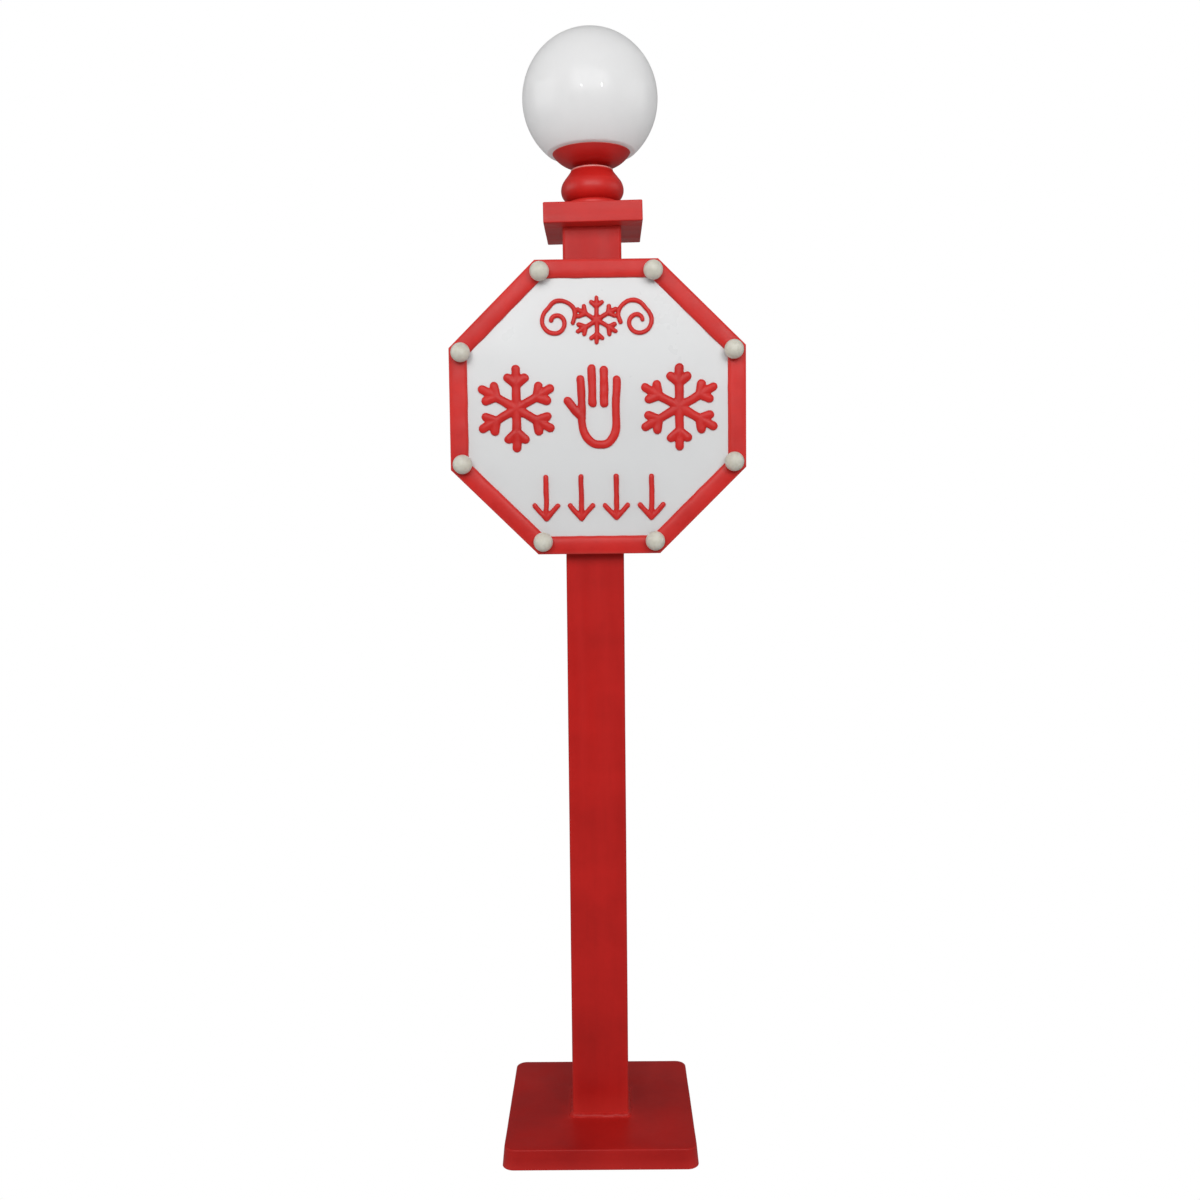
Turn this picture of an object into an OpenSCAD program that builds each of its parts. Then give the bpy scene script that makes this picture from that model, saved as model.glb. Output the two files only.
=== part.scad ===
// Free-standing lit signpost: square post on a weighted base, an octagonal box sign
// with a bulb at each corner, and a globe lamp on a turned finial.
// +Z is up, the sign faces -Y, and the floor is z = 0 under the middle of the base.

/* [Base] */
// Side of the square base where it meets its rim
base_size = 275; // [220:1:400]
// Height of the base shell
base_h = 28; // [22:1:60]
// Gap between the shell's rim and the floor
rim_gap = 1; // [0.5:0.5:2]
// How far each side leans in between the rim and the top
base_draft = 2.7; // [0:0.1:6]
// Corner radius of the base in plan
base_corner = 16; // [6:1:30]
// Wall of the base shell
base_wall = 2; // [1:0.5:4]
// Thickness of the cover under the base
cover_t = 1.5; // [1:0.5:3]
// Height of the rubber feet, which stand inside the shell's rim
foot_h = 3; // [2.5:0.5:6]
// Radius of the rubber feet
foot_r = 12; // [8:1:20]

/* [Post] */
// Side of the square post tube
post_size = 82; // [70:1:98]
// Wall of the post tube
post_wall = 2; // [1.5:0.5:4]
// Outside corner radius of the post tube
post_corner = 4; // [2:0.5:8]
// Length of the post tube above the base
post_len = 1280; // [1000:10:1800]
// Side of the plate that carries the post, inside the base
flange_size = 132; // [120:1:180]
// Thickness of that plate
flange_t = 5; // [3:0.5:10]
// Height of the spigot that stands inside the post
spigot_h = 60; // [50:5:120]
// Height of the bead around the post's foot
bead = 5; // [1:0.5:8]
// Height of the cord gland above the base
gland_rise = 100; // [90:5:300]
// Radius of the cord that the gland takes
cord_r = 3.5; // [2.5:0.25:4.5]

/* [Head] */
// Lean of the head, in degrees, from the slant at the post's cut end
head_tilt = 1; // [0:0.1:3]
// Sideways offset of the head on the post
head_shift = 2; // [-3:0.5:3]
// Side of the square cap block
cap_size = 136.5; // [110:0.5:180]
// Height of the cap block
cap_h = 28; // [15:1:50]
// Depth of the plug under the cap
plug_h = 20; // [10:1:40]
// Radius of the plinth ring
plinth_r = 41; // [32:1:60]
// Height of the plinth ring
plinth_h = 14; // [8:1:30]
// Largest radius of the finial ball
ball_r = 44.5; // [42:0.5:58]
// Height of the finial ball
ball_h = 45; // [42:1:60]
// Height of the neck over the ball
neck_h = 4; // [2:1:20]
// Radius of the neck
neck_r = 19; // [14:1:28]
// Outside radius of the dish's rim
dish_r = 55.5; // [50:0.5:66]
// Depth of the dish
dish_depth = 19.5; // [17:0.5:23]
// Wall of the dish
dish_wall = 2; // [1:0.5:3]

/* [Lamp] */
// Radius of the globe
globe_r = 95.5; // [84:0.5:120]
// Height of the globe's middle over its flat underside, as a share of its radius
globe_cut = 0.764; // [0.6:0.002:0.85]
// Length of the globe's neck inside the dish
globe_neck = 5.4; // [4:0.2:8]
// Wall of the globe
globe_wall = 2.5; // [1.5:0.5:4]
// Radius of the globe's mouth
mouth_r = 40; // [37:0.5:44]
// Thickness of the gasket under the globe
gasket_t = 1.5; // [1:0.5:3]
// Radius of the threaded lamp pipe
pipe_r = 5; // [4.5:0.5:6.5]
// Radius of the lamp bulb
lamp_r = 27; // [18:1:30]
// Length of the lamp bulb over its holder
lamp_len = 72; // [62:1:82]
// Radius of the lamp holder's bore
holder_bore_r = 14; // [13:0.5:16]
// Height of the lamp holder
holder_h = 48; // [40:1:60]

/* [Sign] */
// Width of the octagonal sign across its flats
sign_w = 411; // [330:1:520]
// Height of the sign across its flats
sign_h = 405; // [330:1:520]
// Depth of the sign's box
sign_depth = 20; // [18:1:40]
// Distance from the top of the post down to the middle of the sign
sign_drop = 252; // [240:1:420]
// Sideways offset of the sign on the post
sign_shift = 6; // [-8:0.5:8]
// Turn of the sign on the post, in degrees
sign_roll = 0.1; // [-2:0.1:2]
// Wall of the sign's tray
tray_wall = 1.5; // [1:0.5:3]
// Thickness of the sign's face
face_t = 2; // [1:0.5:4]
// Width of the raised border
border_w = 25; // [22:1:34]
// Height of the raised border over the face
border_t = 5; // [4:0.5:9]
// Height of the raised pictograms over the face
picto_t = 4; // [2:0.5:7]
// Distance from the sign's edge to the bulbs
bulb_inset = 17.5; // [16:0.5:22]
// Radius of the corner bulbs
bulb_r = 13.4; // [10:0.2:16]
// Radius of a corner bulb's push-in base
bulb_base_r = 5; // [4:0.5:6]

/* [Fits] */
// Radial clearance of a base that slides in its socket
slide_gap = 0.08; // [0.02:0.01:0.1]
// Clearance between fixed pieces
loose_gap = 0.5; // [0.3:0.1:1]
// Clearance between the globe and the dish's rim
globe_gap = 0.6; // [0.4:0.1:2]

/* [Hidden] */
$fn = 64;
red = "#b3261f";
far = 400;

// Heights from the floor
base_top = rim_gap + base_h;
flange_top = base_top - base_wall;
flange_bottom = flange_top - flange_t;
ballast_bottom = foot_h + cover_t;
seat_z = base_top + post_len;
sign_z = seat_z - sign_drop;
gland_z = base_top + gland_rise;

// Base and post, inside
post_bore = post_size - 2 * post_wall;
post_face = post_size / 2;
spigot_w = post_bore - 2 * loose_gap;
spigot_wall = 2;
bolt_r = 4;
bolt_head_r = 7;
bolt_head_h = foot_h - 0.8;
bolt_at = (spigot_w + flange_size) / 4;
foot_at = base_size / 2 - 20 - foot_r;
screw_r = 3;
screw_head_r = 5.2;
screw_head_h = 2.6;
screw_reach = post_wall + loose_gap + spigot_wall + 2;
screw_rises = [spigot_h * 0.3, spigot_h * 0.75];

// Cord gland
gland_thread_r = cord_r + 3;
gland_hex_r = gland_thread_r + 4.5;
gland_hex_t = 5;
gland_dome_r = gland_thread_r + 2.5;
gland_dome_l = 12;
gland_nut_t = 4;
gland_inside = post_wall + gland_nut_t + 3;

// Driver and leads
driver = [34, 22, 100];
driver_z = sign_z - 70;
driver_y = post_bore / 2 - driver[1] / 2;
driver_screw_r = 2;
driver_screw_inset = 8;
driver_screw_reach = post_wall + 8;
lead_r = 3;
lamp_lead_r = 2.2;
sign_lead_r = 1.8;
supply_y = 12;
knuckle = 1.06;
sign_lead_x = 9;
sign_lead_z = driver_z - 25;

// Head, heights over the post's cut end
plug_w = post_bore - 2 * (loose_gap + abs(head_shift) + plug_h * sin(head_tilt));
plinth_top = cap_h + plinth_h;
ball_top = plinth_top + ball_h;
dish_bottom = ball_top + neck_h;
rim_h = dish_bottom + dish_depth;
bowl_rise = 24;
bowl_r = dish_depth + bowl_rise;
bowl_at = dish_r - sqrt(bowl_r * bowl_r - bowl_rise * bowl_rise);
globe_floor = rim_h + globe_gap;
globe_h = globe_floor + globe_cut * globe_r;
mouth_h = rim_h - globe_neck;
shelf_h = mouth_h - gasket_t;
pocket_r = mouth_r - 6;
pocket_h = dish_bottom + 5;
pipe_gap = 0.5;
pipe_bore_r = pipe_r - 1.8;
nut_t = 5;
nut_r = pipe_r + 4.5;
washer_t = 2;
washer_r = 14;
holder_bottom = pocket_h + nut_t;
pipe_top = holder_bottom + 8;
pipe_bottom = -plug_h - washer_t - nut_t - 6;
holder_floor = pipe_top + 4;
holder_top = holder_bottom + holder_h;
holder_r = holder_bore_r + 5;
lamp_cap_bottom = holder_floor + 4;
lamp_neck_r = holder_bore_r + 2;
lamp_centre = holder_top + lamp_len - lamp_r;

// Sign, depths in front of the post's face
face_back = sign_depth - face_t;
border_front = sign_depth + border_t;
socket_neck_r = bulb_base_r + 2;
socket_body_r = socket_neck_r + 2;
socket_back = 4;
socket_front = border_front + 0.4;
bulb_base_back = socket_back + 6;
bulb_back = border_front + 0.8;
bulb_centre = bulb_back + 0.62 * bulb_r;
socket_hole_r = socket_neck_r + 0.2;
loom_r = 1.4;
loom_depth = socket_back + 5;
sign_bolt_r = 3;
sign_bolt_head_r = 5.8;
sign_bolt_head_h = 4;
sign_nut_t = 5;
sign_bolt_x = min(24, post_bore / 2 - 10);
sign_bolt_z = 120;
grommet_r = 4.5;
grommet_lip_r = 6.5;
grommet_lip_t = 1.5;

// ---- Shared shapes ----

// Square with rounded corners, drawn round the origin
module round_square(w, r) {
    square([w, w - 2 * r], center = true);
    square([w - 2 * r, w], center = true);
    for (x = [-1, 1], y = [-1, 1])
        translate([x * (w / 2 - r), y * (w / 2 - r)]) circle(r);
}

// Upright block with rounded corners whose sides lean in by lean over its height
module drafted_block(w, lean, h, r) {
    side = [[-w / 2, 0], [w / 2, 0], [w / 2 - lean, h], [lean - w / 2, h]];
    intersection() {
        linear_extrude(h) round_square(w, r);
        rotate([90, 0, 0]) linear_extrude(2 * w, center = true) polygon(side);
        rotate([90, 0, 90]) linear_extrude(2 * w, center = true) polygon(side);
    }
}

// Eight corners of the sign's outline, in from its edge by inset
function octagon(inset) = [
    for (i = [0:7]) let (a = 45 * i + 22.5)
        [(sign_w / 2 - inset) * cos(a), (sign_h / 2 - inset) * sin(a)] / cos(22.5)
];

// Round lead through a list of points, a little fuller where it bends
module lead(points, r) {
    for (i = [0:len(points) - 2]) {
        way = points[i + 1] - points[i];
        reach = norm(way);
        turn = atan2(way[1], way[0]);
        translate(points[i]) rotate([0, acos(way[2] / reach), turn]) cylinder(r = r, h = reach, $fn = 24);
        if (i > 0) translate(points[i]) sphere(r * knuckle, $fn = 24);
    }
}

// Round-ended strokes of one width along lists of points, raised over the sign's face
module strokes(lines, w) {
    core = 0.1;
    translate([0, 0, sign_depth]) linear_extrude(picto_t) offset(r = (w - core) / 2, $fn = 20)
        for (line = lines, i = [0:len(line) - 2]) {
            way = line[i + 1] - line[i];
            translate(line[i]) rotate(atan2(way[1], way[0])) translate([-core / 2, -core / 2])
                square([norm(way) + core, core]);
        }
}

// Hexagonal nut, r across its corners
module hex_nut(r, bore, t) {
    difference() {
        cylinder(r = r, h = t, $fn = 6);
        translate([0, 0, -1]) cylinder(r = bore, h = t + 2, $fn = 48);
    }
}

// Flat ring on z = 0
module washer(r, bore, t) {
    difference() {
        cylinder(r = r, h = t);
        translate([0, 0, -1]) cylinder(r = bore, h = t + 2);
    }
}

// Frame of the head: its origin is on the post's cut end, and it leans with the head
module head() translate([head_shift, 0, seat_z]) rotate([0, -head_tilt, 0]) children();

// Frame of the sign: x right, y up, z out of the post's front face
module sign() translate([sign_shift, -post_face, sign_z]) rotate([90, 0, 0]) rotate(sign_roll) children();

// Places of the sign's bolts on the post's front face, with z out of the face
module sign_bolt_places()
    for (x = [-1, 1], z = [-1, 1])
        translate([x * sign_bolt_x, -post_face, sign_z + z * sign_bolt_z]) rotate([90, 0, 0]) children();

module grommet_place() translate([sign_lead_x, -post_face, sign_lead_z]) rotate([90, 0, 0]) children();

// Frames on the post's rear face, with z out of the face
module rear(x, z) translate([x, post_face, z]) rotate([-90, 0, 0]) children();

module set_screw_places() for (rise = screw_rises) rear(0, base_top + rise) children();

module driver_screw_places()
    for (end = [driver_screw_inset, driver[2] - driver_screw_inset]) rear(0, driver_z + end) children();

module base_bolt_places() for (x = [-1, 1], y = [-1, 1]) translate([x * bolt_at, y * bolt_at]) children();

// ---- Base ----

module base_shell() {
    inner_h = base_h - base_wall;
    color(red) difference() {
        translate([0, 0, rim_gap]) drafted_block(base_size, base_draft, base_h, base_corner);
        translate([0, 0, rim_gap - 0.01])
            drafted_block(base_size - 2 * base_wall, base_draft * inner_h / base_h, inner_h + 0.01,
                base_corner - base_wall);
        translate([0, 0, flange_top - 1]) linear_extrude(base_wall + 2)
            square(spigot_w + 2 * loose_gap, center = true);
    }
}

module base_cover() {
    color("dimgray") difference() {
        translate([0, 0, foot_h]) linear_extrude(cover_t)
            round_square(base_size - 2 * base_wall - 4 * loose_gap, base_corner - base_wall);
        base_bolt_places() cylinder(r = bolt_r + 0.3, h = far);
    }
}

module ballast() {
    color("#3a3a3c") difference() {
        translate([0, 0, ballast_bottom]) linear_extrude(flange_bottom - ballast_bottom)
            round_square(base_size - 2 * (base_wall + base_draft + 3), base_corner);
        base_bolt_places() cylinder(r = bolt_r + 0.3, h = far);
    }
}

// A foot at each corner and one in the middle
module rubber_feet() {
    color("#202020") {
        cylinder(r = foot_r, h = foot_h);
        for (x = [-1, 1], y = [-1, 1]) translate([x * foot_at, y * foot_at]) cylinder(r = foot_r, h = foot_h);
    }
}

module base_bolts() {
    color("silver") base_bolt_places() {
        translate([0, 0, foot_h - bolt_head_h]) cylinder(r = bolt_head_r, h = bolt_head_h);
        translate([0, 0, foot_h]) cylinder(r = bolt_r, h = flange_top - foot_h - 0.5);
    }
}

module foot_flange() {
    color("dimgray") difference() {
        union() {
            translate([0, 0, flange_bottom]) linear_extrude(flange_t) square(flange_size, center = true);
            translate([0, 0, flange_bottom]) linear_extrude(base_top + spigot_h - flange_bottom)
                round_square(spigot_w, post_corner);
        }
        translate([0, 0, flange_top]) linear_extrude(far) square(spigot_w - 2 * spigot_wall, center = true);
        base_bolt_places() cylinder(r = bolt_r, h = far);
        set_screw_places() translate([0, 0, -screw_reach]) cylinder(r = screw_r, h = screw_reach + 1);
    }
}

module foot_bead() {
    color(red) translate([0, 0, base_top]) difference() {
        drafted_block(post_size + 2 * bead, bead, bead, bead);
        translate([0, 0, -1]) linear_extrude(bead + 2) round_square(post_size, post_corner);
    }
}

// ---- Post ----

module post_tube() {
    color(red) difference() {
        translate([0, 0, base_top]) linear_extrude(post_len + post_size) difference() {
            round_square(post_size, post_corner);
            round_square(post_bore, max(post_corner - post_wall, 0.5));
        }
        head() translate([-far / 2, -far / 2, 0]) cube(far);
        set_screw_places() translate([0, 0, -post_wall - 1]) cylinder(r = screw_r, h = post_wall + 2);
        driver_screw_places() translate([0, 0, -post_wall - 1]) cylinder(r = driver_screw_r, h = post_wall + 2);
        rear(0, gland_z) translate([0, 0, -post_wall - 1]) cylinder(r = gland_thread_r, h = post_wall + 2);
        sign_bolt_places() translate([0, 0, -post_wall - 1]) cylinder(r = sign_bolt_r, h = post_wall + 2);
        grommet_place() translate([0, 0, -post_wall - 1]) cylinder(r = grommet_r, h = post_wall + 2);
    }
}

module post_set_screws() {
    color("silver") set_screw_places() {
        translate([0, 0, -screw_reach]) cylinder(r = screw_r, h = screw_reach);
        difference() {
            cylinder(r1 = screw_head_r, r2 = screw_head_r - 1, h = screw_head_h);
            translate([0, 0, screw_head_h - 1.5]) cylinder(r = 2, h = 2, $fn = 6);
        }
    }
}

module cord_gland() {
    color("#26262a") rear(0, gland_z) difference() {
        union() {
            translate([0, 0, -gland_inside]) cylinder(r = gland_thread_r, h = gland_inside);
            cylinder(r = gland_hex_r, h = gland_hex_t, $fn = 6);
            cylinder(r = gland_dome_r, h = gland_dome_l);
            translate([0, 0, gland_dome_l])
                cylinder(r1 = gland_dome_r, r2 = cord_r + 1.5, h = gland_dome_r - cord_r - 1.5);
        }
        translate([0, 0, -gland_inside - 1]) cylinder(r = cord_r, h = far);
    }
}

module gland_nut() {
    color("#26262a") rear(0, gland_z) translate([0, 0, -post_wall - gland_nut_t])
        hex_nut(gland_hex_r, gland_thread_r, gland_nut_t);
}

module supply_lead() {
    y0 = post_face - gland_inside;
    color("#303030") lead([
        [0, y0, gland_z], [0, supply_y, gland_z], [0, supply_y, driver_z - 60],
        [0, driver_y, driver_z - 30], [0, driver_y, driver_z]
    ], lead_r);
}

module led_driver() {
    color("whitesmoke") difference() {
        translate([-driver[0] / 2, driver_y - driver[1] / 2, driver_z]) cube(driver);
        driver_screw_places() translate([0, 0, -driver_screw_reach]) cylinder(r = driver_screw_r, h = far);
    }
}

module driver_screws() {
    color("silver") driver_screw_places() {
        translate([0, 0, -driver_screw_reach]) cylinder(r = driver_screw_r, h = driver_screw_reach);
        cylinder(r1 = driver_screw_r * 2, r2 = driver_screw_r * 1.4, h = 2);
    }
}

module lamp_lead() {
    top = driver_z + driver[2];
    under = -pipe_bottom + 12;
    bend = [head_shift + under * sin(head_tilt), 0, seat_z - under * cos(head_tilt)];
    color("#303030") {
        lead([[0, driver_y, top], [0, driver_y, top + 30], bend], lamp_lead_r);
        head() translate([0, 0, -under]) {
            sphere(lamp_lead_r * knuckle, $fn = 24);
            cylinder(r = lamp_lead_r, h = under + pipe_top, $fn = 24);
        }
    }
}

// ---- Head ----

module cap_block() {
    color(red) head() difference() {
        linear_extrude(cap_h) round_square(cap_size, 1.5);
        translate([0, 0, -1]) cylinder(r = pipe_r + pipe_gap, h = cap_h + 2);
    }
}

module cap_plug() {
    color("burlywood") head() translate([0, 0, -plug_h]) difference() {
        linear_extrude(plug_h) square(plug_w, center = true);
        translate([0, 0, -1]) cylinder(r = pipe_r + pipe_gap, h = plug_h + 2);
    }
}

module lamp_pipe() {
    color("goldenrod") head() translate([0, 0, pipe_bottom])
        washer(pipe_r, pipe_bore_r, pipe_top - pipe_bottom);
}

module pipe_washer() {
    color("silver") head() translate([0, 0, -plug_h - washer_t]) washer(washer_r, pipe_r + 0.3, washer_t);
}

module pipe_nut() {
    color("silver") head() translate([0, 0, -plug_h - washer_t - nut_t]) hex_nut(nut_r, pipe_r, nut_t);
}

// A turned ring: straight side, then a rounded shoulder into a narrow groove
module finial_plinth() {
    soft = 4;
    color(red) head() translate([0, 0, cap_h]) difference() {
        rotate_extrude() {
            square([plinth_r, plinth_h - 2 - soft]);
            square([plinth_r - soft, plinth_h - 2]);
            translate([plinth_r - soft, plinth_h - 2 - soft]) circle(soft);
            square([plinth_r - 2 * soft, plinth_h]);
        }
        translate([0, 0, -1]) cylinder(r = pipe_r + pipe_gap, h = plinth_h + 2);
    }
}

// A squashed ball: a tight arc below its widest line, a wider one over it, then a straight cone
module finial_ball() {
    waist = plinth_top + 0.36 * ball_h;
    under_r = waist - plinth_top + 1;
    high_r = 22;
    slope = 36;
    high_at = ball_r - high_r;
    cone_r = high_at + high_r * cos(slope);
    cone_h = waist + high_r * sin(slope);
    top_r = max(cone_r - (ball_top - cone_h) * tan(slope), neck_r + 2);
    color(red) head() difference() {
        rotate_extrude() {
            intersection() {
                translate([high_at, waist]) circle(high_r);
                translate([high_at, waist]) square([high_r, cone_h - waist]);
            }
            translate([0, waist]) square([high_at, cone_h - waist]);
            polygon([[0, cone_h], [cone_r, cone_h], [top_r, ball_top], [0, ball_top]]);
            intersection() {
                union() {
                    translate([ball_r - under_r, waist]) circle(under_r);
                    translate([0, plinth_top]) square([ball_r - under_r, waist - plinth_top]);
                }
                translate([0, plinth_top]) square([ball_r, waist - plinth_top]);
            }
            translate([0, waist]) square([neck_r, dish_bottom - waist]);
        }
        translate([0, 0, plinth_top - 1]) cylinder(r = pipe_r + pipe_gap, h = far);
    }
}

module globe_dish() {
    color(red) head() difference() {
        rotate_extrude() {
            intersection() {
                translate([bowl_at, rim_h + bowl_rise]) circle(bowl_r);
                translate([bowl_at, dish_bottom]) square([bowl_r, dish_depth]);
            }
            translate([0, dish_bottom]) square([bowl_at, dish_depth]);
        }
        rotate_extrude() {
            intersection() {
                translate([bowl_at, rim_h + bowl_rise]) circle(bowl_r - dish_wall);
                translate([bowl_at, shelf_h]) square([bowl_r, far]);
            }
            translate([0, shelf_h]) square([bowl_at, far]);
        }
        translate([0, 0, pocket_h]) cylinder(r = pocket_r, h = far);
        cylinder(r = pipe_r + pipe_gap, h = far);
    }
}

module dish_nut() {
    color("silver") head() translate([0, 0, pocket_h]) hex_nut(nut_r, pipe_r, nut_t);
}

module dish_gasket() {
    color("#202020") head() translate([0, 0, shelf_h]) washer(mouth_r + 3, pocket_r + 0.5, gasket_t);
}

module lamp_holder() {
    color("ivory") head() difference() {
        union() {
            translate([0, 0, holder_bottom]) cylinder(r1 = holder_r - 5, r2 = holder_r, h = 14);
            translate([0, 0, holder_bottom + 14]) cylinder(r = holder_r, h = holder_h - 14);
        }
        translate([0, 0, holder_floor]) cylinder(r = holder_bore_r, h = far);
        translate([0, 0, holder_bottom - 1]) cylinder(r = pipe_r, h = pipe_top - holder_bottom + 1);
    }
}

module lamp_bulb_cap() {
    color("silver") head() translate([0, 0, lamp_cap_bottom])
        cylinder(r = holder_bore_r - slide_gap, h = holder_top - lamp_cap_bottom);
}

module lamp_bulb() {
    color("white") head() {
        translate([0, 0, holder_top]) cylinder(r1 = lamp_neck_r, r2 = lamp_r * 0.92,
            h = lamp_centre - holder_top - 0.392 * lamp_r);
        translate([0, 0, lamp_centre]) sphere(lamp_r);
    }
}

// Half a section of a ball about the globe's middle, cut flat at a height
module cut_ball(r, cut_h) {
    intersection() {
        translate([0, globe_h]) circle(r);
        translate([0, cut_h]) square([r, 2 * r]);
    }
}

module globe() {
    color("white", 0.9) head() difference() {
        union() {
            rotate_extrude() cut_ball(globe_r, globe_floor);
            translate([0, 0, mouth_h]) cylinder(r = mouth_r + globe_wall, h = globe_floor + 1 - mouth_h);
        }
        rotate_extrude() cut_ball(globe_r - globe_wall, globe_floor + globe_wall);
        translate([0, 0, mouth_h - 1]) cylinder(r = mouth_r, h = globe_floor + globe_wall + 2 - mouth_h);
    }
}

// ---- Sign ----

module sign_tray() {
    color(red) difference() {
        sign() difference() {
            linear_extrude(sign_depth) polygon(octagon(0));
            translate([0, 0, tray_wall]) linear_extrude(sign_depth) polygon(octagon(tray_wall));
        }
        sign_bolt_places() cylinder(r = sign_bolt_r, h = 3 * tray_wall, center = true);
        grommet_place() cylinder(r = grommet_r, h = 3 * tray_wall, center = true);
    }
}

module sign_face() {
    color("white") sign() difference() {
        translate([0, 0, face_back]) linear_extrude(face_t) polygon(octagon(tray_wall + 0.2));
        for (p = octagon(bulb_inset)) translate([p[0], p[1], 0]) cylinder(r = socket_hole_r, h = far);
    }
}

module sign_border() {
    color(red) sign() difference() {
        translate([0, 0, sign_depth]) linear_extrude(border_t) difference() {
            polygon(octagon(0));
            polygon(octagon(border_w));
        }
        for (p = octagon(bulb_inset)) translate([p[0], p[1], 0]) cylinder(r = socket_hole_r, h = far);
    }
}

// Points of a scroll that winds in from the right, about its centre
function scroll(c, r, side) = [
    for (t = [0:12]) let (a = 400 * t / 12 - 60, q = r * (1 - 0.7 * t / 12))
        c + [side * q * cos(a), -q * sin(a)]
];

// A snowflake's arms, each with a pair of barbs
function flake(c, r, barb) = [
    for (i = [0:2]) let (a = 60 * i + 90)
        [c - r * [cos(a), sin(a)], c + r * [cos(a), sin(a)]],
    for (i = [0:5]) let (a = 60 * i + 90, k = c + 0.6 * r * [cos(a), sin(a)])
        [k + barb * [cos(a + 50), sin(a + 50)], k, k + barb * [cos(a - 50), sin(a - 50)]]
];

// A snowflake between two scrolls
module pictogram_upper() {
    scrolls = [for (side = [-1, 1]) scroll([side * 57, 118], 21, side)];
    tails = [for (side = [-1, 1]) [
        [side * 67.5, 136.2], [side * 52, 147], [side * 38, 143], [side * 30, 131], [side * 33, 117]
    ]];
    color(red) sign() strokes(concat(flake([0, 120], 30, 10), scrolls, tails), 6.5);
}

// An open palm between two bold snowflakes
module pictogram_middle() {
    palm = [
        [[-22, 8], [-22, -22], [-17, -38], [-6, -49], [10, -50], [20, -42], [25, -28], [25, 2]],
        [[-22, 8], [-24, 40]], [[-7, 6], [-8, 54]], [[9, 6], [9, 52]], [[25, 2], [27, 38]],
        [[-22, -14], [-42, 10]]
    ];
    sides = [for (s = [-1, 1]) each flake([s * 113, 0], 54, 15)];
    color(red) sign() {
        strokes(palm, 12);
        strokes(sides, 13);
    }
}

// Four arrows that point at the ground
module pictogram_lower() {
    arrows = [
        for (i = [0:3]) let (c = [(i - 1.5) * 49, -124]) each [
            [c + [0, 29], c + [0, -29]], [c + [-16, -11], c + [0, -29], c + [16, -11]]
        ]
    ];
    color(red) sign() strokes(arrows, 7.5);
}

module bulb_sockets() {
    color("#26262a") sign() for (p = octagon(bulb_inset)) translate([p[0], p[1], 0]) difference() {
        union() {
            translate([0, 0, socket_back]) cylinder(r = socket_body_r, h = face_back - socket_back);
            translate([0, 0, face_back]) cylinder(r = socket_neck_r, h = socket_front - face_back);
        }
        translate([0, 0, bulb_base_back]) cylinder(r = bulb_base_r + slide_gap, h = far);
    }
}

// Wire runs from each socket to the next
module sign_loom() {
    turns = octagon(bulb_inset);
    color("#303030") sign() for (i = [0:7]) {
        way = turns[(i + 1) % 8] - turns[i];
        translate([turns[i][0], turns[i][1], loom_depth]) rotate(atan2(way[1], way[0])) rotate([0, 90, 0])
            translate([0, 0, socket_body_r]) cylinder(r = loom_r, h = norm(way) - 2 * socket_body_r, $fn = 24);
    }
}

// Lead from the driver, through the post's face and down to the lowest wire run
module sign_lead() {
    y = -post_face - loom_depth;
    low = sign_z - sign_h / 2 + bulb_inset + loom_r + 0.3;
    color("#303030") lead([
        [sign_lead_x, driver_y, driver_z], [sign_lead_x, driver_y, sign_lead_z],
        [sign_lead_x, y, sign_lead_z], [sign_lead_x, y, low]
    ], sign_lead_r);
}

module sign_grommet() {
    inside = -post_wall - grommet_lip_t;
    color("#202020") grommet_place() difference() {
        union() {
            translate([0, 0, inside]) cylinder(r = grommet_r, h = tray_wall + grommet_lip_t - inside);
            translate([0, 0, inside]) cylinder(r = grommet_lip_r, h = grommet_lip_t);
            translate([0, 0, tray_wall]) cylinder(r = grommet_lip_r, h = grommet_lip_t);
        }
        translate([0, 0, -far / 2]) cylinder(r = sign_lead_r, h = far);
    }
}

module sign_bolts() {
    color("silver") sign_bolt_places() {
        inside = post_wall + sign_nut_t + 3;
        translate([0, 0, -inside]) cylinder(r = sign_bolt_r, h = inside + tray_wall);
        translate([0, 0, tray_wall]) cylinder(r = sign_bolt_head_r, h = sign_bolt_head_h, $fn = 6);
    }
}

module sign_nuts() {
    color("silver") sign_bolt_places() translate([0, 0, -post_wall - sign_nut_t])
        hex_nut(sign_bolt_head_r, sign_bolt_r, sign_nut_t);
}

// Push-in bulb: a frosted ball cut flat at the back, on a plain base
module corner_bulb(i) {
    p = octagon(bulb_inset)[i - 1];
    color("#d8d6c8") sign() translate([p[0], p[1], 0]) {
        translate([0, 0, bulb_base_back]) cylinder(r = bulb_base_r, h = bulb_centre - bulb_base_back);
        intersection() {
            translate([0, 0, bulb_centre]) sphere(bulb_r);
            translate([-bulb_r, -bulb_r, bulb_back]) cube([2 * bulb_r, 2 * bulb_r, 2 * bulb_r]);
        }
    }
}

base_shell();
base_cover();
ballast();
rubber_feet();
base_bolts();
foot_flange();
foot_bead();
post_tube();
post_set_screws();
cord_gland();
gland_nut();
supply_lead();
led_driver();
driver_screws();
lamp_lead();
cap_block();
cap_plug();
lamp_pipe();
pipe_washer();
pipe_nut();
finial_plinth();
finial_ball();
globe_dish();
dish_nut();
dish_gasket();
lamp_holder();
lamp_bulb();
lamp_bulb_cap();
globe();
sign_tray();
sign_face();
sign_border();
pictogram_upper();
pictogram_middle();
pictogram_lower();
bulb_sockets();
sign_loom();
sign_lead();
sign_grommet();
sign_bolts();
sign_nuts();
corner_bulb(1);  // corner_bulb_1
corner_bulb(2);  // corner_bulb_2
corner_bulb(3);  // corner_bulb_3
corner_bulb(4);  // corner_bulb_4
corner_bulb(5);  // corner_bulb_5
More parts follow.
